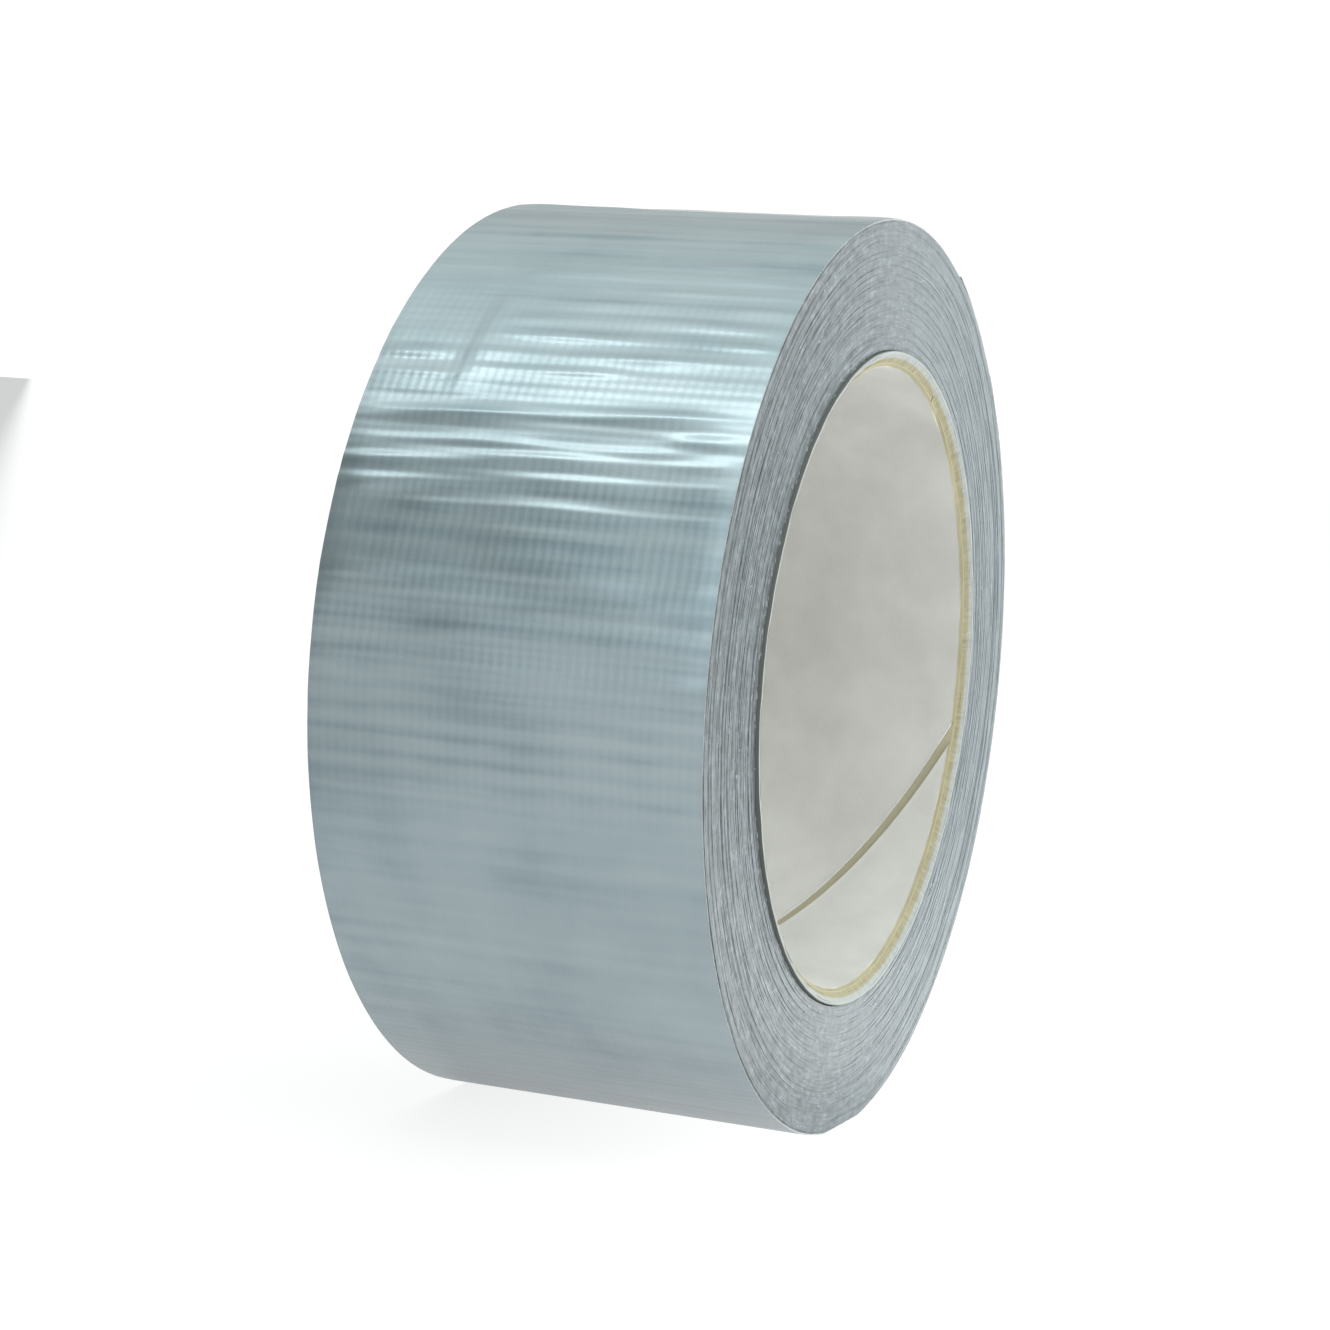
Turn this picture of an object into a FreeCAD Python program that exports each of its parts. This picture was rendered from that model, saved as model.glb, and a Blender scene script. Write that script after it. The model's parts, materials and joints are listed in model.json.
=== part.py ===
"""Duct tape roll, 48 mm wide and 25 m long, on a spirally wound paperboard core for a 3 inch hub.

Frame: +Z up, the roll's axis along Y, origin at the centre of the core's bore. The roll stands on
its tread. Angles about the axis are measured from +X towards +Z, and the tape winds outwards as
that angle grows. Lengths are in millimetres and angles in degrees.
"""

import FreeCAD, Part

import math
import os

import Sketcher
from FreeCAD import Placement, Rotation, Vector

AXIS = Vector(0, 1, 0)
CENTRE = Vector(0, 0, 0)

# Driving dimensions: alias, value, what it is.
DIMENSIONS = [
    ("bore_dia", 76.2, "bore of the core, for a 3 inch hub"),
    ("core_length", 48.6, "length of the core, a little proud of the tape on both sides"),
    ("liner_thick", 0.4, "white paper liner, the innermost ply"),
    ("board_thick", 0.4, "each of the brown board plies"),
    ("jacket_thick", 0.4, "white outermost ply"),
    ("bevel_run", 1.3, "axial run of the bevel that the slitting knife leaves at each end of the core"),
    ("bevel_depth", 1.6, "radial depth of that bevel"),
    ("liner_gap", 1.4, "axial gap between the liner's spiral edges"),
    ("board_gap", 0.5, "axial gap between another ply's spiral edges"),
    ("seam_pitch", 110.0, "axial advance of every ply in one turn"),
    ("tape_width", 48.0, "width of the tape"),
    ("film_thick", 0.07, "polyethylene film"),
    ("scrim_thick", 0.05, "cotton scrim"),
    ("glue_thick", 0.07, "rubber adhesive"),
    ("wind_slack", 0.0016, "air between one turn and the next"),
    ("turn_count", 82, "whole turns from the tape's start to its last pass over +X"),
    ("end_angle", 64, "angle of the tape's free edge past +X"),
    ("foot_width", 12, "width of the flat that the roll stands on"),
    ("tab_length", 20, "length of the loose end tab along the tape"),
    ("tab_lift", 0.1, "clearance under the end tab"),
    ("tab_gap", 0.06, "clearance along the tape at the end tab's root"),
]

BOARD_PLIES = 3
LINER_SEAM_ANGLE = -90  # where the liner's seam crosses the middle of the roll
SEAM_STAGGER = 77  # from one ply's seam to the next one's
SEAM_OVERRUN = 2.0  # how far the seam's cut runs past both ends of the core
BLADE_MARGIN = 0.2  # how far the seam's cut passes a ply's faces


def make_sheet(doc):
    """The spreadsheet of driving dimensions, each value cell with its alias."""
    sheet = doc.addObject("Spreadsheet::Sheet", "Dimensions")
    for row, (alias, value, meaning) in enumerate(DIMENSIONS, start=1):
        sheet.set(f"A{row}", alias)
        sheet.set(f"B{row}", str(value))
        sheet.set(f"C{row}", meaning)
        sheet.setAlias(f"B{row}", alias)
    doc.recompute()
    return sheet


# ---------------------------------------------------------------- the core's plies


def laid(plies):
    """Expression for the thickness of the plies, named by their cells, laid on the bore so far."""
    return " + ".join(["0 mm"] + [f"Dimensions.{name} * 1 mm" for name in plies])


def radius_over(plies):
    """Expression for the radius over those plies."""
    return f"Dimensions.bore_dia * 0.5 mm + {laid(plies)}"


def end_over(plies):
    """Expression for the core's half length over those plies, on the bevel or past it."""
    short = f"max(0; 1 - ({laid(plies)}) / (Dimensions.bevel_depth * 1 mm))"
    return f"Dimensions.core_length * 0.5 mm - Dimensions.bevel_run * 1 mm * {short}"


def quad_sketch(body, name, corners):
    """A closed quadrilateral on the body's XY plane, each corner a pair of expressions."""
    sketch = body.newObject("Sketcher::SketchObject", name)
    plane = next(f for f in body.Origin.OriginFeatures if f.Role == "XY_Plane")
    sketch.AttachmentSupport = (plane, [""])
    sketch.MapMode = "FlatFace"
    drawn = [Vector(1, 1, 0), Vector(2, 1, 0), Vector(2, 2, 0), Vector(1, 2, 0)]
    for i in range(4):
        sketch.addGeometry(Part.LineSegment(drawn[i], drawn[(i + 1) % 4]), False)
    for i in range(4):
        sketch.addConstraint(Sketcher.Constraint("Coincident", i, 2, (i + 1) % 4, 1))
    for i, (across, along) in enumerate(corners):
        x = sketch.addConstraint(Sketcher.Constraint("DistanceX", -1, 1, i, 1, drawn[i].x))
        y = sketch.addConstraint(Sketcher.Constraint("DistanceY", -1, 1, i, 1, drawn[i].y))
        sketch.setExpression(f"Constraints[{x}]", across)
        sketch.setExpression(f"Constraints[{y}]", along)
    return sketch


def make_tube(body, label, under, over):
    """A ply's tube, with both ends on the core's bevel or square past it."""
    wall = quad_sketch(
        body,
        label + "_wall",
        [
            (radius_over(under), f"-({end_over(under)})"),
            (radius_over(over), f"-({end_over(over)})"),
            (radius_over(over), end_over(over)),
            (radius_over(under), end_over(under)),
        ],
    )
    tube = body.newObject("PartDesign::Revolution", label + "_tube")
    tube.Profile = wall
    tube.ReferenceAxis = (wall, ["V_Axis"])
    tube.Angle = 360
    return tube


def cut_seam(body, label, under, over, gap):
    """The helical gap where a ply's edges meet, cut through it from end to end."""
    inside = f"{radius_over(under)} - {BLADE_MARGIN} mm"
    outside = f"{radius_over(over)} + {BLADE_MARGIN} mm"
    middle = f"-(Dimensions.core_length * 0.5 mm + {SEAM_OVERRUN} mm)"
    low = f"{middle} - Dimensions.{gap} * 0.5 mm"
    high = f"{middle} + Dimensions.{gap} * 0.5 mm"
    corners = [(inside, low), (outside, low), (outside, high), (inside, high)]
    blade = quad_sketch(body, label + "_blade", corners)
    seam = body.newObject("PartDesign::SubtractiveHelix", label + "_seam")
    seam.Profile = blade
    seam.ReferenceAxis = (blade, ["V_Axis"])
    seam.Mode = 0
    seam.setExpression("Pitch", "Dimensions.seam_pitch * 1 mm")
    seam.setExpression("Height", f"Dimensions.core_length * 1 mm + {2 * SEAM_OVERRUN} mm")
    return seam


def make_ply(doc, label, under, thickness, gap, seam_angle):
    """One ply of the core: a tube slit along a helix that crosses the middle at `seam_angle`."""
    over = under + [thickness]
    body = doc.addObject("PartDesign::Body", label)
    body.Label = label
    tube = make_tube(body, label, under, over)
    doc.recompute()
    whole = tube.Shape.Volume
    body.Tip = cut_seam(body, label, under, over, gap)
    lead = f"360 deg * (Dimensions.core_length * 0.5 + {SEAM_OVERRUN}) / Dimensions.seam_pitch"
    body.Placement = Placement(CENTRE, Rotation(AXIS, 1))
    body.setExpression("Placement.Rotation.Angle", f"-({seam_angle} deg) - {lead}")
    doc.recompute()
    if whole - body.Shape.Volume < 1:
        raise RuntimeError(f"the seam of {label} cut nothing")
    return body


def make_core(doc):
    """The plies from the bore outwards, a liner, boards and a jacket, each seam turned from the last."""
    names = ["core_liner"] + [f"core_board_ply_{i + 1}" for i in range(BOARD_PLIES)] + ["core_jacket"]
    cells = ["liner_thick"] + ["board_thick"] * BOARD_PLIES + ["jacket_thick"]
    gaps = ["liner_gap"] + ["board_gap"] * (BOARD_PLIES + 1)
    return [
        make_ply(doc, names[i], cells[:i], cells[i], gaps[i], LINER_SEAM_ANGLE + i * SEAM_STAGGER)
        for i in range(len(names))
    ]


# ---------------------------------------------------------------- the wound tape


class Winding:
    """The tape's spiral, as half circles about two centres a quarter pitch each side of the axis.

    A winding angle counts on past 360, and a lift is a height above the tape's inner face. The foot
    is the flat that the outermost turns take where the roll stands on them.
    """

    def __init__(self, sheet):
        core = sheet.bore_dia / 2 + sheet.liner_thick + BOARD_PLIES * sheet.board_thick + sheet.jacket_thick
        self.width = sheet.tape_width
        self.thick = sheet.glue_thick + sheet.scrim_thick + sheet.film_thick
        self.pitch = self.thick + sheet.wind_slack
        self.start_radius = core + self.pitch / 4 + sheet.wind_slack
        self.end = 360 * sheet.turn_count + sheet.end_angle
        self.outside = self.start_radius + self.pitch * self.end / 360 + self.thick
        self.foot_reach = math.degrees(math.asin(sheet.foot_width / 2 / self.outside))

    def point(self, angle, lift, half=None):
        """The point at a winding angle and lift, on half circle number `half` where two meet."""
        half = int(angle // 180) if half is None else half
        centre = self.pitch / 4 if half % 2 else -self.pitch / 4
        radius = self.start_radius + half * self.pitch / 2 + lift
        turn = math.radians(angle)
        return Vector(centre + radius * math.cos(turn), -self.width / 2, radius * math.sin(turn))

    def path(self, first, last, lift, foot=True):
        """The spiral between two winding angles: an arc for each half circle, and a line at the foot."""
        turns = range(int(first // 360), int(last // 360) + 1)
        stops = [360 * i + angle for i in turns for angle in (0, 180)]
        if foot:
            stops += [360 * i + 270 + side * self.foot_reach for i in turns for side in (-1, 1)]
        stops = [first] + sorted(stop for stop in stops if first < stop < last) + [last]
        edges = []
        for start, stop in zip(stops, stops[1:]):
            middle = (start + stop) / 2
            half = int(middle // 180)
            points = [self.point(angle, lift, half) for angle in (start, middle, stop)]
            flat = foot and abs(middle % 360 - 270) < self.foot_reach
            edges.append(Part.makeLine(points[0], points[2]) if flat else Part.Arc(*points).toShape())
        return edges

    def slab(self, edges):
        """The solid as wide as the tape whose side is bounded by these edges."""
        side = Part.Face(Part.Wire(Part.__sortEdges__(edges)))
        return side.extrude(AXIS * self.width)

    def layer(self, first, last, low, high):
        """The solid between two winding angles and two lifts."""
        inner = self.path(first, last, low)
        outer = self.path(first, last, high)
        ends = [Part.makeLine(inner[i].Vertexes[i].Point, outer[i].Vertexes[i].Point) for i in (0, -1)]
        return self.slab(inner + outer + ends)

    def turns_up_to(self, last):
        """The mass of all the turns from the tape's start, with the steps at its start and at `last`."""
        outer_step = Part.makeLine(self.point(last - 360, self.thick), self.point(last, self.thick))
        outside = self.slab(self.path(last - 360, last, self.thick) + [outer_step])
        inner_step = Part.makeLine(self.point(0, 0), self.point(360, 0))
        inside = self.slab(self.path(0, 360, 0, foot=False) + [inner_step])
        return outside.cut(inside)


def add_feature(doc, label, shape):
    """A document object that holds a finished shape."""
    feature = doc.addObject("Part::Feature", label)
    feature.Label = label
    feature.Shape = shape
    feature.Placement = Placement(CENTRE, Rotation(AXIS, 0))
    return feature


def make_tape(doc, sheet):
    """The wound turns, the last turn as three layers, and the loose end tab as three layers."""
    winding = Winding(sheet)
    root = winding.end - math.degrees(sheet.tab_length / winding.outside)
    gap = math.degrees(sheet.tab_gap / winding.outside)
    over_glue = sheet.glue_thick
    over_scrim = over_glue + sheet.scrim_thick
    layers = {
        "adhesive": (0, over_glue),
        "scrim": (over_glue, over_scrim),
        "film": (over_scrim, winding.thick),
    }
    parts = [add_feature(doc, "wound_tape", winding.turns_up_to(root - 360 - gap))]
    for name, (low, high) in layers.items():
        turn = winding.layer(root - 360, root - gap, low, high)
        parts.append(add_feature(doc, "outer_turn_" + name, turn))
    for name, (low, high) in layers.items():
        tab = winding.layer(root, winding.end, low + sheet.tab_lift, high + sheet.tab_lift)
        parts.append(add_feature(doc, "end_tab_" + name, tab))

    hinge = winding.point(root, winding.thick + sheet.tab_lift)
    foot = winding.point(root - root % 360 - 90 - winding.foot_reach, winding.thick)
    length = math.pi * (winding.outside**2 - winding.start_radius**2) / winding.pitch
    print(f"outside radius {winding.outside:.2f}, tape length {length / 1000:.1f} m")
    print(f"the end tab turns about x {hinge.x:.3f}, z {hinge.z:.3f}; the foot is at z {foot.z:.3f}")
    return parts


# ---------------------------------------------------------------- checks and export


def check(doc, parts):
    """Stops before anything is written if an object failed or a shape is unusable."""
    for obj in doc.Objects:
        if "Invalid" in obj.State or "Error" in obj.State:
            raise RuntimeError(f"{obj.Label} did not recompute: {obj.State}")
    for part in parts:
        if part.Shape.isNull() or not part.Shape.isValid() or part.Shape.Volume <= 0:
            raise RuntimeError(f"{part.Label} has no valid shape")


def main():
    doc = FreeCAD.newDocument("duct_tape_roll")
    sheet = make_sheet(doc)
    parts = make_core(doc) + make_tape(doc, sheet)
    doc.recompute()
    check(doc, parts)
    os.makedirs("parts", exist_ok=True)
    for part in parts:
        part.Shape.exportStep(f"parts/{part.Label}.step")
        print(f"{part.Label}: {len(part.Shape.Solids)} solid, {part.Shape.Volume:.0f} mm3")


main()
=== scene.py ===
"""Looks of the duct tape roll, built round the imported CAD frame.

The frame is in metres, +Z up, with the roll's axis along Y and its origin at the centre of the
core's bore. Sizes here are in millimetres, which solid() turns into metres. Angles are in degrees
from +X towards +Z, and count on past 360 along the wound tape.
"""

import json
import math
from collections import namedtuple

import bpy
import numpy as np
from mathutils import Matrix, Quaternion, Vector


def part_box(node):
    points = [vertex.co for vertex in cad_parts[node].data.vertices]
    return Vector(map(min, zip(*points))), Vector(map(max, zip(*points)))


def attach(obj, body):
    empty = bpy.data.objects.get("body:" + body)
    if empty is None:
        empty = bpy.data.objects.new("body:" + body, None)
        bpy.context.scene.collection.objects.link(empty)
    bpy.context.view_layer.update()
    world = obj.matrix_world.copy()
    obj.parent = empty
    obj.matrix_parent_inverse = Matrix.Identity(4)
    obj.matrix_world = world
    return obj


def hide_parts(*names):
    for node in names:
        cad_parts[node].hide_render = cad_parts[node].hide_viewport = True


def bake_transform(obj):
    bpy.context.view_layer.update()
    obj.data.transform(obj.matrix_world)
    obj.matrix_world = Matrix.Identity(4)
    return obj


MM = 0.001

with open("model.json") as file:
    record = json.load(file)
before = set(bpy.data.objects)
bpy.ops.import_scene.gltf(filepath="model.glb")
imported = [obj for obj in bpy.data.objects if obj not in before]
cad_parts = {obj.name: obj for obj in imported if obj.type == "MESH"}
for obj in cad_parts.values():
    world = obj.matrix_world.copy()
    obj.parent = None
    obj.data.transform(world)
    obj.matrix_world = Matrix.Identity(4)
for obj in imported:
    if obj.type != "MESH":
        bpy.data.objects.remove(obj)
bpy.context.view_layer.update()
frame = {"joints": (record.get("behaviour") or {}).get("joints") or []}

# ---------------------------------------------------------------- measures read from the frame


def corner_mm(node, axis):
    """The highest coordinate of a CAD node along an axis, in millimetres."""
    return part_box(node)[1][axis] / MM


CORE_RADIUS = corner_mm("core_jacket", 0)
CORE_HALF = corner_mm("core_jacket", 1)
TAPE_HALF = corner_mm("wound_tape", 1)
FOOT_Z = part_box("outer_turn_film")[0].z / MM
HINGE = [value / MM for value in frame["joints"][0]["pos_m"]]

# The tape, as the CAD model winds it.
GLUE, SCRIM, FILM = 0.07, 0.05, 0.07
TAPE = GLUE + SCRIM + FILM
SLACK = 0.0016
PITCH = TAPE + SLACK
TAB_LENGTH = 20.0
FIRST_RADIUS = CORE_RADIUS + SLACK
HINGE_RADIUS = math.hypot(HINGE[0], HINGE[2])
HINGE_ANGLE = math.degrees(math.atan2(HINGE[2], HINGE[0]))
TURNS = math.floor((HINGE_RADIUS - FIRST_RADIUS - TAPE) / PITCH)
TAB_ROOT = 360 * TURNS + HINGE_ANGLE
TAB_END = TAB_ROOT + math.degrees(TAB_LENGTH / HINGE_RADIUS)
OUTER_START = TAB_ROOT - 360
FOOT_REACH = math.degrees(math.acos(-FOOT_Z / (FIRST_RADIUS + PITCH * (TURNS - 0.25) + TAPE)))

# The core, from the bore outwards: thickness, axial seam gap and seam angle at the middle.
BORE_RADIUS = 38.1
SEAM_PITCH = 110.0
BEVEL_RUN, BEVEL_DEPTH = 1.3, 1.6
PLIES = [
    ("core_liner", 0.4, 1.4, -90),
    ("core_board_ply_1", 0.4, 0.1, -13),
    ("core_board_ply_2", 0.4, 0.1, 64),
    ("core_board_ply_3", 0.4, 0.1, 141),
    ("core_jacket", 0.4, 0.1, 218),
]

# The scrim's threads: how many cross the tape in one turn, and how far apart the others run.
WEFT_COUNT = 140
WARP_SPACING = 1.15
WARP_WAVES = 2 * math.pi / WARP_SPACING

# ---------------------------------------------------------------- smooth random shapes


def smooth_noise(where, spacing, rng):
    """Smooth noise along a line, about -1 to 1, with one random knot every `spacing`."""
    place = (where - np.min(where)) / spacing
    knots = rng.uniform(-1, 1, int(np.max(place)) + 4)
    index = np.floor(place).astype(int)
    share = place - index
    before, here, after, beyond = (knots[index + step] for step in range(4))
    slope_in, slope_out = (after - before) / 2, (beyond - here) / 2
    cube, square = share**3, share**2
    return (
        (2 * cube - 3 * square + 1) * here
        + (cube - 2 * square + share) * slope_in
        + (3 * square - 2 * cube) * after
        + (cube - square) * slope_out
    )


def ring_noise(angles, orders, rng):
    """Smooth noise round a ring, about -1 to 1, from waves of the given orders."""
    total = np.zeros_like(np.asarray(angles, float))
    for order in orders:
        phase, strength = rng.uniform(0, 2 * np.pi), rng.uniform(0.5, 1)
        total = total + strength * np.sin(order * np.radians(angles) + phase)
    return total / math.sqrt(len(orders))


def rise_past(start, place, reach):
    """A smooth step from 0 to 1 as the place passes the start, over a reach on both sides."""
    return 1 / (1 + np.exp((start - place) / reach))


def bell(distance, width):
    """A smooth bump, 1 in its middle."""
    return np.exp(-((distance / width) ** 2))


# ---------------------------------------------------------------- meshes


def solid(name, loops, sharp=35):
    """A closed mesh through cross-section loops along a path: loops[i][j] is (x, y, z) in mm."""
    steps, size = loops.shape[:2]
    index = np.arange(steps * size).reshape(steps, size)
    here, ahead = index[:-1], index[1:]
    quads = np.stack([here, np.roll(here, -1, axis=1), np.roll(ahead, -1, axis=1), ahead], axis=-1)
    caps = [index[0][::-1].tolist(), index[-1].tolist()]
    faces = quads.reshape(-1, 4).tolist() + caps
    return mesh_piece(name, loops.reshape(-1, 3), faces, sharp)


def mesh_piece(name, points, faces, sharp=35):
    """A piece from points in mm and faces, turned the right way out if its volume is negative."""
    mesh = bpy.data.meshes.new(name)
    mesh.from_pydata((points * MM).tolist(), [], faces)
    if signed_volume(points, faces) < 0:
        mesh.flip_normals()
    mesh.shade_smooth()
    mesh.set_sharp_from_angle(angle=math.radians(sharp))
    piece = bpy.data.objects.new(name, mesh)
    bpy.context.scene.collection.objects.link(piece)
    return piece


def signed_volume(points, faces):
    """Six times the volume inside the four-sided faces, negative if they face inwards."""
    quads = np.array([face for face in faces if len(face) == 4])
    a, b, c, d = (points[quads[:, i]] for i in range(4))
    return np.einsum("ij,ij->", a, np.cross(b, c)) + np.einsum("ij,ij->", a, np.cross(c, d))


def around(radius, angle, along):
    """Points at a radius, angle and distance along the roll's axis."""
    turn = np.radians(angle)
    return np.stack(np.broadcast_arrays(radius * np.cos(turn), along, radius * np.sin(turn)), axis=-1)


# ---------------------------------------------------------------- how the tape lies


FLAT_FROM = 0.6  # the share of the turns at which the flat of the foot starts to form


def tape_radius(angles, lift):
    """Radius of the wound tape at a lift above its inner face, flattened at the foot."""
    radius = FIRST_RADIUS + PITCH * angles / 360 + lift
    off_foot = (angles % 360) - 270
    flat = math.cos(math.radians(FOOT_REACH)) / np.cos(np.radians(off_foot))
    depth = np.clip((angles / 360 - FLAT_FROM * TURNS) / ((1 - FLAT_FROM) * TURNS), 0, 1)
    return np.where(np.abs(off_foot) < FOOT_REACH, radius * (1 + depth * (flat - 1)), radius)


# How far the slit edge stands back from the roll's side, on average, and how far that drifts over
# turns, drifts within a turn, jitters, and swings once and twice a turn.
MEAN_SETBACK = 0.12
SLOW_DRIFT, QUICK_DRIFT, JITTER, SWING = 0.035, 0.02, 0.02, 0.06


class EdgeWander:
    """How far the slit edge of the wound tape stands back from the roll's side, turn by turn, in mm."""

    def __init__(self, seed):
        rng = np.random.default_rng(seed)
        self.angles = np.arange(0, TAB_END + 1, 1.0)
        turn = self.angles / 360
        drift = SLOW_DRIFT * smooth_noise(turn, 1.7, rng) + QUICK_DRIFT * smooth_noise(turn, 0.31, rng)
        jitter = JITTER * smooth_noise(turn, 0.012, rng)
        swing = SWING * ring_noise(self.angles, (1, 2), rng) * smooth_noise(turn, 11, rng)
        self.back = MEAN_SETBACK + drift + jitter + swing

    def at(self, angles):
        """The setback at winding angles."""
        return np.interp(angles, self.angles, self.back)


FRONT_EDGE = EdgeWander(11)
BACK_EDGE = EdgeWander(23)


def front_edge(angles):
    """The tape's -Y edge."""
    return -TAPE_HALF + FRONT_EDGE.at(angles)


def back_edge(angles):
    """The tape's +Y edge."""
    return TAPE_HALF - BACK_EDGE.at(angles)


def strip(name, angles, low, high, inset=0.0):
    """A plain layer of the wound tape between two lifts, with its real edges."""
    inner, outer = tape_radius(angles, low), tape_radius(angles, high)
    front, back = front_edge(angles) + inset, back_edge(angles) - inset
    corners = [(inner, front), (outer, front), (outer, back), (inner, back)]
    return solid(name, np.stack([around(radius, angles, along) for radius, along in corners], axis=1))


# ---------------------------------------------------------------- the film and its wrinkles

# The tread's main wrinkles, ridges that run along the axis: angle at the middle, drift in degrees
# per mm along the axis, where one starts and stops along the axis, width in mm, tilt of its sides
# in degrees.
WRINKLES = [
    (113.5, 0.000, -24, 24, 1.8, 4.0),
    (118.0, 0.010, -24, 16, 1.4, 4.0),
    (121.4, 0.010, -24, 6, 1.3, 5.0),
    (124.4, 0.015, -20, 11, 1.2, 5.0),
    (127.6, 0.020, -19, -8, 0.6, 9.0),
    (130.5, 0.000, -24, 2, 1.0, 8.0),
    (133.6, 0.010, -24, 9, 1.0, 8.0),
    (136.3, -0.010, -24, 10, 0.9, 8.0),
    (139.4, 0.010, -24, 11, 0.9, 8.0),
    (138.9, 0.050, 14, 24, 0.9, 8.0),
    (141.6, 0.030, -6, 11, 0.7, 7.0),
    (142.6, 0.010, 14, 24, 0.8, 7.0),
    (147.9, 0.038, -18, 24, 1.0, 11.0),
    (150.2, 0.000, -24, -16, 0.7, 10.0),
    (151.9, 0.030, -17, 24, 0.7, 5.0),
    (153.9, 0.042, -24, 24, 0.9, 9.0),
    (156.7, 0.045, -24, 24, 1.0, 9.0),
    (159.9, 0.020, -24, 13, 1.0, 8.0),
    (163.6, 0.010, -24, 4, 1.6, 3.0),
    (167.6, 0.000, -24, 24, 1.4, 6.0),
    (170.4, 0.010, -22, 24, 1.2, 5.0),
    (174.2, 0.000, -24, 10, 1.2, 4.0),
    (178.5, 0.000, -24, 24, 1.6, 3.5),
    (182.0, 0.010, -16, 24, 1.6, 5.0),
    (186.5, 0.000, -8, 24, 1.6, 5.0),
    (191.0, 0.010, -2, 24, 1.5, 3.5),
]
RANDOM_WRINKLES = 220
SMOOTH_SIDE = 222
BELL_SLOPE = 0.858  # the steepest slope of a bell of width 1
WRINKLE_END = 1.2  # how gently a wrinkle starts and stops, in mm

# The one slanting crease: both ends as (angle, along), its height, and how far its sides reach in mm.
CREASE_FROM = (129.8, 12.0)
CREASE_TO = (143.8, 13.2)
CREASE_HEIGHT = 0.26
CREASE_STEEP, CREASE_GENTLE = 0.4, 6

# The film's mesh: step round the roll in mm, and its rows across as shares of the width, closer
# together at the crease.
FILM_STEP = 0.2
FILM_ROWS = np.union1d(np.linspace(0, 1, 41).round(3), np.linspace(0.70, 0.82, 13).round(3))

# The film's fine relief in mm: its lowest point, the ridges over the threads, its rounded edges.
DEEPEST, DEEPEST_SOFTNESS = 0.055, 0.008
WEFT_RIDGE, WEFT_DOUBLE_RIDGE = 0.007, 0.004
EDGE_DROP, EDGE_WIDTH = 0.05, 0.35
# Towards the slit edges the wrinkles lose this share of their height, over this width in mm.
EDGE_CALM, CALM_WIDTH = 0.5, 1.5


def random_wrinkles(rng):
    """More wrinkles of the same kind all round the roll, fewer and lower towards SMOOTH_SIDE."""
    made = []
    for _ in range(RANDOM_WRINKLES):
        angle, start = rng.uniform(0, 360), rng.uniform(-34, 14)
        rough = 0.5 - 0.5 * math.cos(math.radians(angle - SMOOTH_SIDE))
        tilt = rng.normal(0, 0.3 + 2.8 * rough)
        reach, width = rng.uniform(12, 48), rng.uniform(0.6, 2.2)
        made.append((angle, rng.normal(0, 0.015), start, start + reach, width, tilt))
    return made


def wrinkle_height(angles, along, rng):
    """Height of the film's wrinkles above the smooth tread, in mm: each bows a little and swells."""
    arc = math.radians(1) * HINGE_RADIUS
    height = np.zeros(np.broadcast_shapes(angles.shape, along.shape))
    for angle, drift, start, stop, width, tilt in WRINKLES + random_wrinkles(rng):
        bow, phase = rng.normal(0, 0.3), rng.uniform(0, 6)
        middle = angle + drift * along + bow * np.sin(along / 6 + phase) / arc
        swell = 1 + 0.4 * np.sin(along / 4 + 2 * phase)
        off = (angles - middle + 180) % 360 - 180
        fade = rise_past(start, along, WRINKLE_END) * rise_past(along, stop, WRINKLE_END)
        rise = math.tan(math.radians(tilt)) * width / BELL_SLOPE
        height += rise * fade * swell * bell(off * arc, width)
    return height


def shallow(relief):
    """The film's relief, held back smoothly where it would come near the film's inner face."""
    return DEEPEST_SOFTNESS * np.logaddexp(0, (relief + DEEPEST) / DEEPEST_SOFTNESS) - DEEPEST


def crease_height(angles, along):
    """The one slanting crease in the film: a step that is steep on one side and fades on the other."""
    arc = math.radians(1) * HINGE_RADIUS
    off = (angles - CREASE_FROM[0] + 180) % 360 - 180
    run = np.array([(CREASE_TO[0] - CREASE_FROM[0]) * arc, CREASE_TO[1] - CREASE_FROM[1]])
    length = np.hypot(*run)
    direction = run / length
    x, y = off * arc, along - CREASE_FROM[1]
    forward = x * direction[0] + y * direction[1]
    side = x * direction[1] - y * direction[0]
    ends = rise_past(np.abs(forward - length / 2), length / 2, 1.0)
    step = rise_past(0, side, CREASE_STEEP)
    return CREASE_HEIGHT * ends * step * bell(np.maximum(side, 0), CREASE_GENTLE)


def film_loops(angles, low, high, seed, lift=0.0):
    """Cross-sections of the film: a finely divided, wrinkled outer face and a plain inner one."""
    rng = np.random.default_rng(seed)
    share = FILM_ROWS[None, :]
    front, back = front_edge(angles)[:, None], back_edge(angles)[:, None]
    along = front + (back - front) * share
    column = angles[:, None]
    edge = np.minimum(along - front, back - along)
    wrinkles = wrinkle_height(column, along, rng) + crease_height(column, along)
    thread = np.radians(column) * WEFT_COUNT
    weft = WEFT_RIDGE * np.sin(thread) + WEFT_DOUBLE_RIDGE * np.sin(2 * thread)
    rounding = -EDGE_DROP * bell(edge, EDGE_WIDTH)
    calmed = wrinkles * (1 - EDGE_CALM * bell(edge, CALM_WIDTH))
    relief = shallow(calmed + weft + rounding)
    outer = tape_radius(column, high) + lift + relief
    inner = tape_radius(column, low) + lift
    faces = [around(outer, column, along), around(inner, column, back), around(inner, column, front)]
    return np.concatenate(faces, axis=1)


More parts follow.
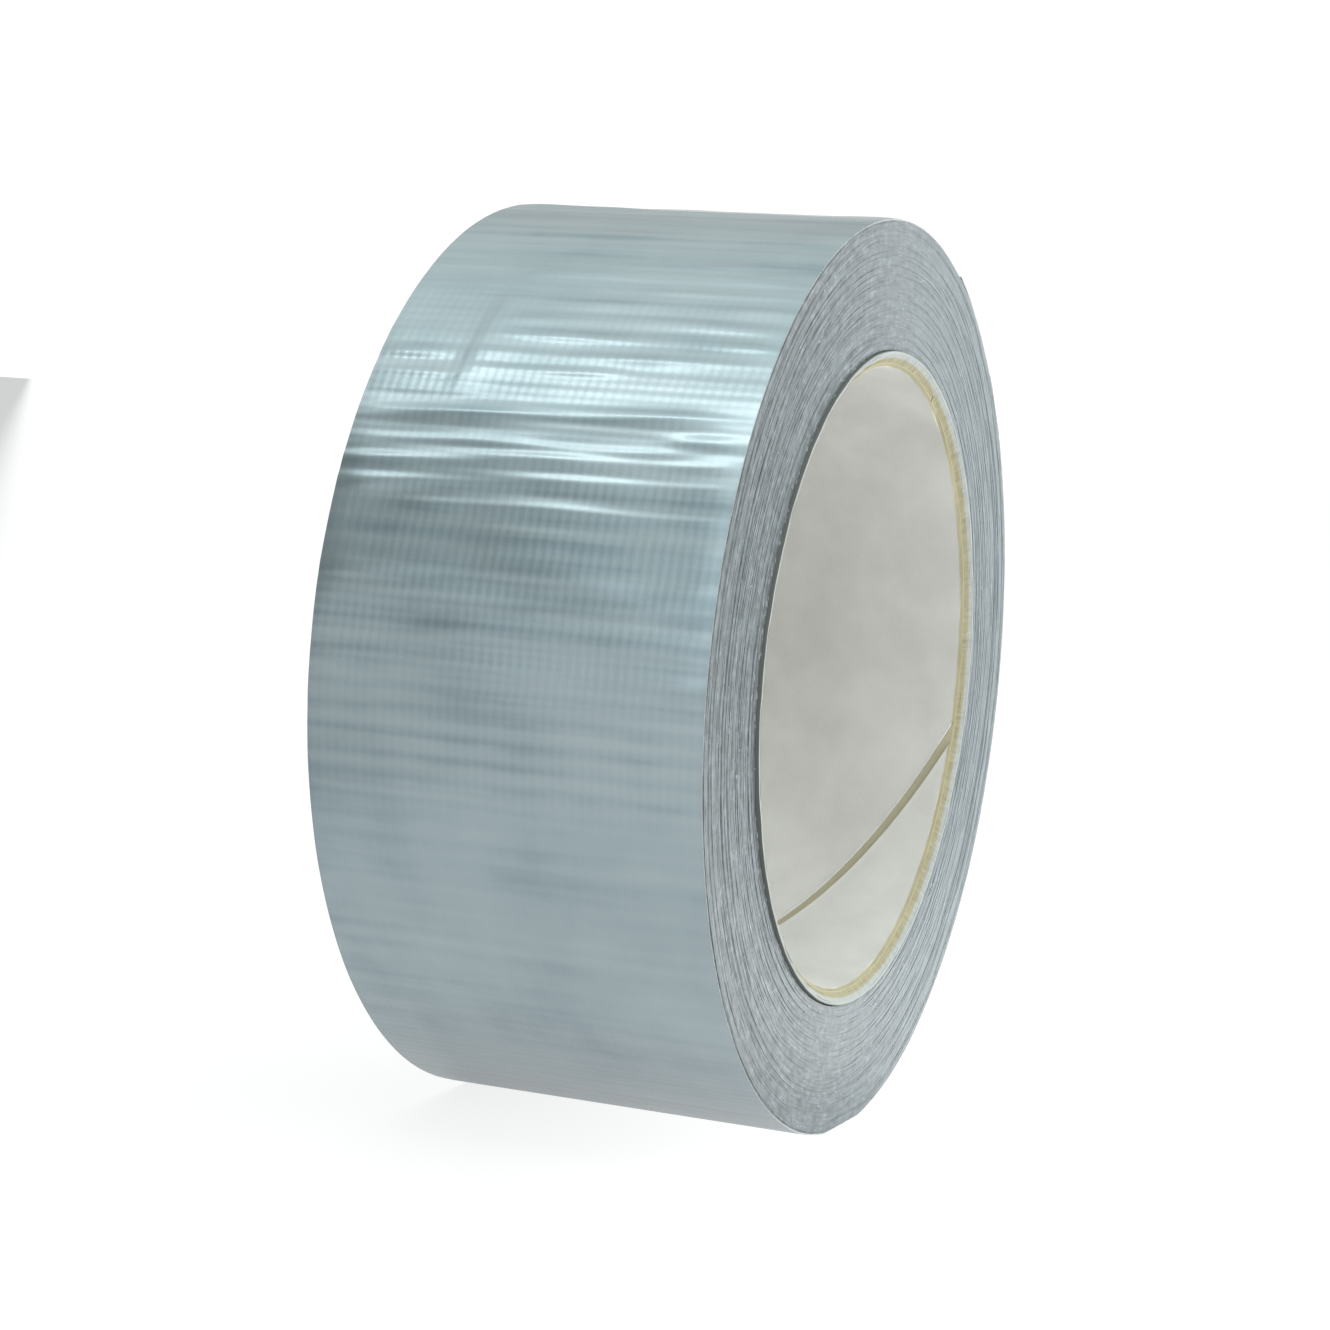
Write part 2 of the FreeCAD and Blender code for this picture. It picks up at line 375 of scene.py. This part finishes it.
def make_outer_turn():
    """The last full turn of the tape: film, scrim and adhesive."""
    steps = round(math.radians(360) * HINGE_RADIUS / FILM_STEP)
    fine = np.linspace(OUTER_START, TAB_ROOT, steps)
    plain = np.linspace(OUTER_START, TAB_ROOT, 721)
    film = solid("outer_film", film_loops(fine, GLUE + SCRIM, TAPE, 5), sharp=60)
    scrim = strip("outer_scrim", plain, GLUE, GLUE + SCRIM, inset=-0.02)
    glue = strip("outer_adhesive", plain, 0, GLUE, inset=0.03)
    dress(film, "tape_film", "roll", "outer_turn_film")
    dress(scrim, "tape_scrim", "roll", "outer_turn_scrim")
    dress(glue, "tape_adhesive", "roll", "outer_turn_adhesive")


STEPS_PER_TURN = 300


def make_wound_tape():
    """All the turns under the last one, as the one long strip that they are."""
    angles = np.linspace(0, OUTER_START, round(OUTER_START / 360 * STEPS_PER_TURN))
    tape = strip("wound_strip", angles, 0, TAPE)
    dress(tape, "tape_roll", "roll", "wound_tape")


# The flecks' sizes in mm, and how strongly they crowd towards the core.
FLECK_COUNT, FLECK_CROWDING = 1000, 2.6
FLECK_LENGTHS, FLECK_WIDTHS, FLECK_HEIGHTS = (0.15, 0.7), (0.03, 0.07), (0.02, 0.08)
FLECK_ROOT = 0.05
BOX_FACES = [(0, 1, 3, 2), (4, 6, 7, 5), (0, 4, 5, 1), (2, 3, 7, 6), (0, 2, 6, 4), (1, 5, 7, 3)]


def make_flecks():
    """Bits of cut cotton thread on both sides of the roll, most of them near the core."""
    rng = np.random.default_rng(17)
    points, faces = [], []
    for _ in range(FLECK_COUNT):
        side = rng.choice((-1, 1))
        turn = (TURNS - 2) * rng.uniform(0, 1) ** FLECK_CROWDING
        angle = 360 * turn + rng.uniform(0, 360)
        length, width = rng.uniform(*FLECK_LENGTHS), rng.uniform(*FLECK_WIDTHS)
        height = rng.uniform(*FLECK_HEIGHTS)
        edge = front_edge(angle) if side < 0 else back_edge(angle)
        swing = math.degrees(length / 2 / CORE_RADIUS)
        lift, lean = rng.uniform(0.03, TAPE - 0.05), rng.normal(0, 0.05)
        first = len(points)
        for end in (-1, 1):
            turned = angle + end * swing
            for y in (edge - side * FLECK_ROOT, edge + side * height):
                for across in (-0.5, 0.5):
                    radius = tape_radius(turned, lift + across * width) + end * lean
                    points.append(around(radius, turned, y))
        order = BOX_FACES if side > 0 else [face[::-1] for face in BOX_FACES]
        faces += [[first + corner for corner in face] for face in order]
    flecks = mesh_piece("cotton_flecks", np.array(points), faces)
    flecks.data.materials.append(MATERIALS["tape_scrim"])
    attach(flecks, "roll")


# ---------------------------------------------------------------- the end tab


TAB_RISE = 0.3  # how far the tab's free edge stands off the roll
BLEND_REACH = 5  # degrees of the tab from its root, for an end point that is not used


def tab_lift(angles):
    """How far the loose end tab stands off the roll."""
    share = (angles - TAB_ROOT) / (TAB_END - TAB_ROOT)
    return TAB_RISE * np.clip(share, 0, 1) ** 2


def make_end_tab():
    """The loose end of the tape in its three layers."""
    steps = round(TAB_LENGTH / FILM_STEP)
    angles = np.linspace(TAB_ROOT, TAB_END, steps)
    lift = tab_lift(angles)
    film = solid("tab_film", film_loops(angles, GLUE + SCRIM, TAPE, 9, lift[:, None]))
    layers = [("tab_scrim", GLUE, GLUE + SCRIM, "scrim"), ("tab_adhesive", 0, GLUE, "adhesive")]
    pieces = [(film, "film")]
    for name, low, high, layer in layers:
        pieces.append((strip(name, angles, low + lift, high + lift), layer))
    start = around(HINGE_RADIUS, TAB_ROOT, 0) * MM
    end = around(HINGE_RADIUS, TAB_ROOT + BLEND_REACH, 0) * MM
    for piece, layer in pieces:
        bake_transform(piece)
        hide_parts("end_tab_" + layer)
        piece.data.materials.append(MATERIALS["tape_" + layer])


# ---------------------------------------------------------------- the core


PLY_ROWS, PLY_COLUMNS = 49, 721
PLY_WOBBLE, WOBBLE_ORDERS = 0.05, (2, 5, 9, 17, 31, 53)
SEAM_CURL, CURL_WIDTH = 0.05, 0.9


def ply_loops(under, thickness, gap, middle, rng):
    """Cross-sections of one ply round the core, from one side of its slanting seam to the other."""
    inner, outer = BORE_RADIUS + under, BORE_RADIUS + under + thickness
    half_in = CORE_HALF - BEVEL_RUN * max(0.0, 1 - under / BEVEL_DEPTH)
    half_out = CORE_HALF - BEVEL_RUN * max(0.0, 1 - (under + thickness) / BEVEL_DEPTH)
    share = np.linspace(0, 1, PLY_COLUMNS)[:, None]
    wobble = PLY_WOBBLE * ring_noise(360 * share, WOBBLE_ORDERS, rng)
    rise = np.linspace(-1, 1, PLY_ROWS)[None, :]
    along = np.concatenate([rise * (half_in + wobble), -rise * (half_out + wobble)], axis=1)
    radius = np.repeat([inner, outer], PLY_ROWS)[None, :]
    gap_angle = gap / SEAM_PITCH * 360
    angle = middle - along * 360 / SEAM_PITCH + gap_angle / 2 + share * (360 - gap_angle)
    from_seam = np.minimum(share, 1 - share) * 360 * math.radians(1) * inner
    curl = -SEAM_CURL * bell(from_seam, CURL_WIDTH)
    return around(radius + curl, angle, along)


def make_core():
    """The five plies of the core, each with its own spiral seam."""
    rng = np.random.default_rng(3)
    under = 0.0
    for node, thickness, gap, middle in PLIES:
        ply = solid(node.replace("core_", "ply_"), ply_loops(under, thickness, gap, middle, rng))
        slot = "core_board" if "board" in node else "core_paper"
        dress(ply, slot, "roll", node)
        under += thickness


def dress(piece, slot, body, node):
    """Gives a piece its material, parents it to its body, and hides the CAD node that it stands for."""
    piece.data.materials.append(MATERIALS[slot])
    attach(piece, body)
    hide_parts(node)


# ---------------------------------------------------------------- materials


def node(tree, kind, inputs=None, **settings):
    """A shader node with its settings, and its inputs set or linked."""
    made = tree.nodes.new(kind)
    for key, value in settings.items():
        setattr(made, key, value)
    usable = {socket.name: socket for socket in made.inputs if socket.enabled}
    for key, value in (inputs or {}).items():
        socket = made.inputs[key] if isinstance(key, int) else usable[key]
        if isinstance(value, bpy.types.NodeSocket):
            tree.links.new(value, socket)
        else:
            socket.default_value = value
    return made


def calc(tree, operation, *values):
    """The result socket of a Math node."""
    made = node(tree, "ShaderNodeMath", dict(enumerate(values)), operation=operation)
    return made.outputs[0]


def ramp(tree, factor, stops):
    """The colour socket of a colour ramp with stops of (place, colour)."""
    made = node(tree, "ShaderNodeValToRGB", {"Fac": factor})
    elements = made.color_ramp.elements
    while len(elements) < len(stops):
        elements.new(0.5)
    for element, (place, colour) in zip(elements, stops):
        element.position = place
        element.color = (*colour, 1)
    return made.outputs["Color"]


def blend(tree, share, first, second):
    """The colour socket of a mix of two colours."""
    inputs = {"Factor": share, "A": first, "B": second}
    return node(tree, "ShaderNodeMix", inputs, data_type="RGBA").outputs[2]


RollPlace = namedtuple("RollPlace", "point angle radius along")


def roll_place(tree):
    """Sockets for the place on the roll: point, angle in radians, radius and distance along, in mm."""
    place = node(tree, "ShaderNodeTexCoord").outputs["Object"]
    point = node(tree, "ShaderNodeVectorMath", {0: place, "Scale": 1 / MM}, operation="SCALE").outputs[0]
    x, along, z = node(tree, "ShaderNodeSeparateXYZ", {0: point}).outputs
    squares = calc(tree, "ADD", calc(tree, "MULTIPLY", x, x), calc(tree, "MULTIPLY", z, z))
    return RollPlace(point, calc(tree, "ARCTAN2", z, x), calc(tree, "SQRT", squares), along)


def ring_vector(tree, roll, per_turn, per_mm, per_mm_along):
    """Texture coordinates that are seamless round the axis, with their own scale each way."""
    x = calc(tree, "MULTIPLY", calc(tree, "COSINE", roll.angle), per_turn)
    z = calc(tree, "MULTIPLY", calc(tree, "SINE", roll.angle), per_turn)
    outward = calc(tree, "MULTIPLY", roll.radius, per_mm)
    sideways = calc(tree, "MULTIPLY", roll.along, per_mm_along)
    y = calc(tree, "ADD", outward, sideways)
    return node(tree, "ShaderNodeCombineXYZ", {"X": x, "Y": y, "Z": z}).outputs[0]


def noise(tree, vector, scale, detail=3.0, roughness=0.55):
    """The factor socket of a noise texture."""
    inputs = {"Vector": vector, "Scale": scale, "Detail": detail, "Roughness": roughness}
    return node(tree, "ShaderNodeTexNoise", inputs).outputs["Fac"]


def facing(tree, direction, axis):
    """How far a vector reaches along an axis, which for a direction is from -1 to 1."""
    inputs = {0: direction, 1: tuple(Vector(axis).normalized())}
    return node(tree, "ShaderNodeVectorMath", inputs, operation="DOT_PRODUCT").outputs["Value"]


def smooth_step(tree, value, start, stop, low=0.0, high=1.0):
    """A socket that goes smoothly from low to high as the value goes from start to stop."""
    inputs = {"Value": value, "From Min": start, "From Max": stop, "To Min": low, "To Max": high}
    return node(tree, "ShaderNodeMapRange", inputs, interpolation_type="SMOOTHSTEP").outputs["Result"]


def bumped(tree, height, distance):
    """The normal socket of a bump where a height of 1 stands `distance` mm high."""
    inputs = {"Height": height, "Distance": distance * MM, "Strength": 1.0}
    return node(tree, "ShaderNodeBump", inputs).outputs["Normal"]


def material(name, build, **constants):
    """A material whose Principled shader has constant inputs, and what build() links to it."""
    made = bpy.data.materials.new(name)
    made.use_nodes = True
    tree = made.node_tree
    shader = tree.nodes["Principled BSDF"]
    for key, value in constants.items():
        shader.inputs[key.replace("_", " ").title()].default_value = value
    for key, socket in build(tree).items():
        tree.links.new(socket, shader.inputs[key])
    return made


def near_angle(tree, roll, middle, outer, inner, low, high):
    """A socket that is high within `inner` degrees of the middle angle and low beyond `outer`."""
    off = calc(tree, "COSINE", calc(tree, "SUBTRACT", roll.angle, math.radians(middle)))
    return smooth_step(tree, off, math.cos(math.radians(outer)), math.cos(math.radians(inner)), low, high)


# Where round the roll the scrim is highest as relief, and where its lines show most.
TIGHT_ANGLE = 137
SHOWN_ANGLE, BACK_ANGLE = 176, 10
FILM_TINTS = [
    (0.34, (0.196, 0.250, 0.275)),
    (0.48, (0.256, 0.312, 0.334)),
    (0.64, (0.296, 0.350, 0.372)),
]


def build_film(tree):
    """Silver-grey film with the scrim's threads showing through it."""
    roll = roll_place(tree)
    shift = calc(tree, "MULTIPLY", noise(tree, roll.point, 0.12, 1.0), 3.0)
    weft = calc(tree, "SINE", calc(tree, "MULTIPLY_ADD", roll.angle, WEFT_COUNT, shift))
    warp = calc(tree, "SINE", calc(tree, "MULTIPLY_ADD", roll.along, WARP_WAVES, shift))
    return {
        "Base Color": film_tint(tree, roll, weft, warp),
        "Roughness": calc(tree, "MULTIPLY_ADD", noise(tree, roll.point, 0.35, 3.0), 0.10, 0.20),
        "Normal": bumped(tree, film_relief(tree, roll, warp), 0.013),
    }


def film_tint(tree, roll, weft, warp):
    """The film's colour: clouded, streaked across the tape in bands painted as the wrinkles' reflections,
    with the threads as faint lines.
    """
    # Bands across the tape, painted into the colour as reflections of the wrinkles, fainter near
    # SMOOTH_SIDE.
    reflection_streak = noise(tree, ring_vector(tree, roll, 27.0, 0.0, 0.022), 1.0, 2.2, 0.55)
    strength = near_angle(tree, roll, SMOOTH_SIDE, 45, 15, 0.62, 0.22)
    reflection_streaks = calc(tree, "MULTIPLY", calc(tree, "SUBTRACT", reflection_streak, 0.5), strength)
    cloud = calc(tree, "MULTIPLY_ADD", noise(tree, roll.point, 0.06, 4.0), 0.52, 0.24)
    elsewhere = near_angle(tree, roll, BACK_ANGLE, 80, 50, 0.012, 0.032)
    shown = near_angle(tree, roll, SHOWN_ANGLE, 22, 12, elsewhere, 0.050)
    threads = calc(tree, "MULTIPLY", calc(tree, "MULTIPLY_ADD", warp, 0.4, weft), shown)
    return ramp(tree, calc(tree, "ADD", calc(tree, "ADD", cloud, reflection_streaks), threads), FILM_TINTS)


def film_relief(tree, roll, warp):
    """The film's finest relief: the threads along the tape, fine lines across it, and a grain."""
    fine_weft = calc(tree, "SINE", calc(tree, "MULTIPLY", roll.angle, 2 * WEFT_COUNT))
    patch = noise(tree, ring_vector(tree, roll, 9.0, 0.0, 0.12), 1.0, 2.0)
    tight = near_angle(tree, roll, TIGHT_ANGLE, 11, 5, 0.20, 0.80)
    warp_share = calc(tree, "MULTIPLY", warp, calc(tree, "MULTIPLY", patch, tight))
    weave = calc(tree, "MULTIPLY_ADD", fine_weft, 0.20, warp_share)
    return calc(tree, "MULTIPLY_ADD", noise(tree, roll.point, 3.0, 2.0), 0.25, weave)


# Where round the roll the knife left the roughest cut and the slit edges carry painted shade, and the
# tones of the cut.
ROUGH_CUT_SHADED_ANGLE = 180
SLIT_TONES = [
    (0.36, (0.062, 0.072, 0.076)),
    (0.47, (0.110, 0.126, 0.132)),
    (0.54, (0.148, 0.168, 0.176)),
    (0.66, (0.280, 0.305, 0.315)),
]


def build_tape_roll(tree):
    """Slit edges of the wound turns: grey layers, streaked and mottled where the knife pulled them, and
    darker there with painted shade.
    """
    roll = roll_place(tree)
    layers = noise(tree, ring_vector(tree, roll, 14.0, 3.0, 0.0), 1.0, 4.0, 0.7)
    mottle = noise(tree, ring_vector(tree, roll, 34.0, 0.8, 0.0), 1.0, 5.0, 0.72)
    pattern = calc(tree, "MULTIPLY_ADD", mottle, 0.55, calc(tree, "MULTIPLY", layers, 0.45))
    rough = near_angle(tree, roll, ROUGH_CUT_SHADED_ANGLE, 130, 50, 0.40, 1.0)
    # Towards that angle the tone is also lowered: painted shade on that part of the roll's side.
    middle = calc(tree, "MULTIPLY_ADD", rough, -0.05, 0.527)
    tone = calc(tree, "MULTIPLY_ADD", calc(tree, "SUBTRACT", pattern, 0.5), rough, middle)
    return {"Base Color": ramp(tree, tone, SLIT_TONES), "Normal": bumped(tree, tone, 0.035)}


COTTON_TONES = [(0.3, (0.34, 0.345, 0.335)), (0.7, (0.56, 0.565, 0.55))]
ADHESIVE_TONES = [(0.25, (0.30, 0.31, 0.31)), (0.75, (0.47, 0.47, 0.455))]


def build_scrim(tree):
    """Off-white cotton threads."""
    roll = roll_place(tree)
    warp = calc(tree, "SINE", calc(tree, "MULTIPLY", roll.along, WARP_WAVES))
    fuzz = noise(tree, roll.point, 6.0, 3.0)
    relief = calc(tree, "ADD", warp, fuzz)
    return {"Base Color": ramp(tree, fuzz, COTTON_TONES), "Normal": bumped(tree, relief, 0.02)}


def build_adhesive(tree):
    """Grey rubber adhesive with the scrim's grid pressed into it."""
    roll = roll_place(tree)
    weft = calc(tree, "SINE", calc(tree, "MULTIPLY", roll.angle, WEFT_COUNT))
    warp = calc(tree, "SINE", calc(tree, "MULTIPLY", roll.along, WARP_WAVES))
    grid = calc(tree, "ADD", calc(tree, "MAXIMUM", warp, weft), noise(tree, roll.point, 1.2, 4.0))
    colour = ramp(tree, calc(tree, "MULTIPLY", grid, 0.5), ADHESIVE_TONES)
    return {"Base Color": colour, "Normal": bumped(tree, grid, 0.02)}


# The core is tan out to TAN_RADIUS and pale beyond. The liner's seam shows the board's smooth face, in a
# lighter tan that is partly its own and partly painted light against the seam's shade.
TAN_RADIUS = 39.2
LINER_OUTSIDE = BORE_RADIUS + PLIES[0][1]
WHITE_PAPER = [(0.35, (0.505, 0.493, 0.466)), (0.65, (0.590, 0.578, 0.550))]
TAN_BOARD = [(0.30, (0.215, 0.194, 0.120)), (0.55, (0.280, 0.256, 0.162)), (0.80, (0.350, 0.325, 0.220))]
PALE_BOARD = [(0.30, (0.270, 0.282, 0.270)), (0.70, (0.345, 0.357, 0.340))]
SMOOTH_LIT_TAN = (0.39, 0.355, 0.25, 1)
DARK_RIM_PAPER = (0.13, 0.14, 0.13, 1)


def build_paper(tree):
    """Off-white core paper with faint clouding and fibres, tan where the bore's edge was bevelled."""
    roll = roll_place(tree)
    cloud = noise(tree, roll.point, 0.12, 4.0)
    fibre = noise(tree, roll.point, 4.0, 4.0, 0.7)
    tone = calc(tree, "MULTIPLY_ADD", fibre, 0.25, calc(tree, "MULTIPLY", cloud, 0.75))
    bore_end = CORE_HALF - BEVEL_RUN
    bevel = smooth_step(tree, calc(tree, "ABSOLUTE", roll.along), bore_end - 0.1, bore_end + 0.1)
    inside = smooth_step(tree, roll.radius, TAN_RADIUS - 0.4, TAN_RADIUS - 0.2, 1.0, 0.0)
    # The jacket's end face is near black in a thin ring at its outer rim, next to the tape.
    dark_rim = smooth_step(tree, roll.radius, CORE_RADIUS - 0.16, CORE_RADIUS - 0.06)
    edge = blend(tree, dark_rim, ramp(tree, tone, PALE_BOARD), DARK_RIM_PAPER)
    liner = blend(tree, bevel, ramp(tree, tone, WHITE_PAPER), ramp(tree, tone, TAN_BOARD))
    colour = blend(tree, inside, edge, liner)
    return {"Base Color": colour, "Normal": bumped(tree, fibre, 0.02)}


def build_board(tree):
    """Core board, tan inside and pale grey outside, rough where it was cut, and a lighter tan on its
    smooth face in the liner's seam that is partly painted light.
    """
    roll = roll_place(tree)
    fibre = noise(tree, ring_vector(tree, roll, 60.0, 2.5, 2.5), 1.0, 4.0, 0.7)
    outside = smooth_step(tree, roll.radius, TAN_RADIUS - 0.1, TAN_RADIUS + 0.1)
    # The board's face in the liner's seam takes a lighter tan: partly its own smooth face, partly painted
    # light against the seam's shade.
    cut = smooth_step(tree, roll.radius, LINER_OUTSIDE + 0.02, LINER_OUTSIDE + 0.1)
    tan = blend(tree, cut, SMOOTH_LIT_TAN, ramp(tree, fibre, TAN_BOARD))
    colour = blend(tree, outside, tan, ramp(tree, fibre, PALE_BOARD))
    return {"Base Color": colour, "Normal": bumped(tree, fibre, 0.08)}


def make_materials():
    """Every material, by its slot."""
    return {
        "tape_film": material(
            "tape_film", build_film, metallic=0.65, coat_weight=0.25, coat_roughness=0.12
        ),
        "tape_roll": material("tape_roll", build_tape_roll, roughness=0.36),
        "tape_scrim": material("tape_scrim", build_scrim, roughness=0.85),
        "tape_adhesive": material("tape_adhesive", build_adhesive, roughness=0.35),
        "core_paper": material("core_paper", build_paper, roughness=0.8),
        "core_board": material("core_board", build_board, roughness=0.9),
    }


# ---------------------------------------------------------------- studio


# The floor's glow isn't even. It is dimmer to the right, outside the view, and to the left behind the
# tread, where a little of the dim part shows at the picture's left edge. Directions are level, and
# distances along them in metres. In its reflections on the roll the floor is darker near the foot,
# and a little brighter further off.
LEFT_OF_VIEW = (-0.55, 0.83, 0.0)
BEHIND_TREAD = (0.39, 0.92, 0.0)
RIGHT_OF_VIEW = (0.168, -0.982, 0.0)
FLOOR_GLOW, FLOOR_DIMMING = 0.80, -0.38
BRIGHT_SPOT = (0.07, -0.11, 0)
MIRRORED_NEAR, MIRRORED_FAR = -0.38, 0.12


def floor_glow(tree):
    """How brightly the floor glows at each place, which reflections see differently."""
    place = node(tree, "ShaderNodeTexCoord").outputs["Object"]
    left = smooth_step(tree, facing(tree, place, LEFT_OF_VIEW), 0.085, 0.13)
    behind = smooth_step(tree, facing(tree, place, BEHIND_TREAD), -0.04, 0.02)
    right = smooth_step(tree, facing(tree, place, RIGHT_OF_VIEW), 0.12, 0.34, 0.0, 1.4)
    unlit = calc(tree, "MAXIMUM", calc(tree, "MULTIPLY", left, behind), right)
    offset = {0: place, 1: BRIGHT_SPOT}
    from_spot = node(tree, "ShaderNodeVectorMath", offset, operation="DISTANCE").outputs["Value"]
    bright = smooth_step(tree, from_spot, 0.02, 0.17, 0.8, 0.0)
    plain = calc(tree, "ADD", calc(tree, "MULTIPLY_ADD", unlit, FLOOR_DIMMING, FLOOR_GLOW), bright)
    from_foot = calc(tree, "ABSOLUTE", facing(tree, place, (1, 0, 0)))
    mirrored = smooth_step(tree, from_foot, 0.010, 0.042, MIRRORED_NEAR, MIRRORED_FAR)
    glossy = node(tree, "ShaderNodeLightPath").outputs["Is Glossy Ray"]
    return calc(tree, "MULTIPLY_ADD", mirrored, glossy, plain)


def make_floor():
    """A wide pale floor under the foot, which glows by floor_glow()."""
    bpy.ops.mesh.primitive_plane_add(size=30, location=(0, 0, FOOT_Z * MM))
    floor = bpy.context.object
    floor.name = "floor"
    made = bpy.data.materials.new("floor")
    made.use_nodes = True
    shader = made.node_tree.nodes["Principled BSDF"]
    shader.inputs["Base Color"].default_value = (0.18, 0.18, 0.18, 1)
    shader.inputs["Roughness"].default_value = 1.0
    shader.inputs["Specular IOR Level"].default_value = 0.0
    shader.inputs["Emission Color"].default_value = (1, 1, 1, 1)
    made.node_tree.links.new(floor_glow(made.node_tree), shader.inputs["Emission Strength"])
    floor.data.materials.append(made)


def area_light(name, place, size, brightness, colour=(1, 1, 1), glossy=True):
    """A soft box at a place in metres that faces the roll, with its size along Y and across.

    Its power goes with its area, so boxes of any size look as bright for the same brightness.
    """
    data = bpy.data.lights.new(name, "AREA")
    data.shape = "RECTANGLE"
    data.size, data.size_y = size
    data.color = colour
    data.energy = brightness * math.pi * size[0] * size[1]
    lamp = bpy.data.objects.new(name, data)
    out = Vector(place).normalized()
    across = (Vector((0, 1, 0)) - out * out.y).normalized()
    turn = Matrix((across, out.cross(across), out)).transposed()
    lamp.matrix_world = Matrix.Translation(place) @ turn.to_4x4()
    lamp.visible_camera = False
    lamp.visible_glossy = glossy
    bpy.context.scene.collection.objects.link(lamp)


# The sky's colours go by how far a direction points along SKY_AXIS, and it dims towards DIM_SIDE.
DIM_SIDE = (-0.58, 0.72, 0.38)
SKY_AXIS = (-0.5, 0.0, 0.866)
SKY_STRENGTH, DIM_STRENGTH = 2.1, 0.1
HORIZON = (0.50, 0.50, 0.50, 1)
SKY = [
    (0.00, (0.275, 0.29, 0.29)),
    (0.20, (0.40, 0.43, 0.425)),
    (0.45, (0.45, 0.49, 0.48)),
    (0.65, (0.57, 0.62, 0.605)),
    (0.92, (0.88, 0.95, 0.93)),
]


def make_world():
    """A sky that is white at the horizon and towards SKY_AXIS, grey away from it, dim to one side."""
    world = bpy.data.worlds.new("studio")
    world.use_nodes = True
    tree = world.node_tree
    direction = node(tree, "ShaderNodeTexCoord").outputs["Generated"]
    above = smooth_step(tree, facing(tree, direction, (0, 0, 1)), 0.13, 0.26)
    sky = ramp(tree, facing(tree, direction, SKY_AXIS), SKY)
    dimming = smooth_step(tree, facing(tree, direction, DIM_SIDE), 0.83, 0.965, SKY_STRENGTH, DIM_STRENGTH)
    backdrop = tree.nodes["Background"]
    tree.links.new(blend(tree, above, HORIZON, sky), backdrop.inputs["Color"])
    tree.links.new(dimming, backdrop.inputs["Strength"])
    bpy.context.scene.world = world


# Where the camera stands about the roll's centre, in degrees and mm, how far it is turned from
# facing the centre, and its lens and sensor in mm.
CAMERA_AZIMUTH, CAMERA_ELEVATION, CAMERA_DISTANCE = -68.476, 4.569, 397.1
CAMERA_PAN, CAMERA_TILT, CAMERA_ROLL = 0.484, -0.104, 3.831
CAMERA_LENS, CAMERA_SENSOR = 85.78, 36


def make_camera():
    """The camera at the photograph's viewing angle."""
    azimuth, elevation = math.radians(CAMERA_AZIMUTH), math.radians(CAMERA_ELEVATION)
    back = Vector((
        math.sin(azimuth) * math.cos(elevation),
        -math.cos(azimuth) * math.cos(elevation),
        math.sin(elevation),
    ))
    pan, tilt, roll = (math.radians(turn) for turn in (CAMERA_PAN, CAMERA_TILT, CAMERA_ROLL))
    data = bpy.data.cameras.new("camera")
    data.sensor_width = CAMERA_SENSOR
    data.lens = CAMERA_LENS
    data.clip_start = 0.01
    camera = bpy.data.objects.new("camera", data)
    camera.location = back * CAMERA_DISTANCE * MM
    camera.rotation_mode = "QUATERNION"
    camera.rotation_quaternion = (
        (-back).to_track_quat("-Z", "Y")
        @ Quaternion((0, 1, 0), pan)
        @ Quaternion((1, 0, 0), tilt)
        @ Quaternion((0, 0, 1), roll)
    )
    bpy.context.scene.collection.objects.link(camera)
    bpy.context.scene.camera = camera


def make_studio():
    """The floor, the surroundings, the lamps and the camera."""
    make_floor()
    make_world()
    area_light("key", (-0.49, 0.20, 1.03), (0.7, 0.18), 3.3, (0.95, 1.0, 0.99))
    area_light("left", (-1.0, 0.08, 0.30), (0.64, 0.66), 0.6, (0.80, 0.95, 1.0))
    area_light("front", (0.02, -0.36, 0.10), (0.2, 0.2), 5.0, glossy=False)
    area_light("right", (0.22, -0.16, -0.03), (0.1, 0.05), 46.0, (0.86, 0.95, 1.0), glossy=False)
    area_light("side", (0.95, -0.20, -0.05), (0.28, 0.8), 1.0, (0.86, 0.95, 1.0))
    make_camera()
    bpy.context.scene.view_settings.view_transform = "Standard"


MATERIALS = make_materials()
make_core()
make_wound_tape()
make_outer_turn()
make_flecks()
make_end_tab()
make_studio()
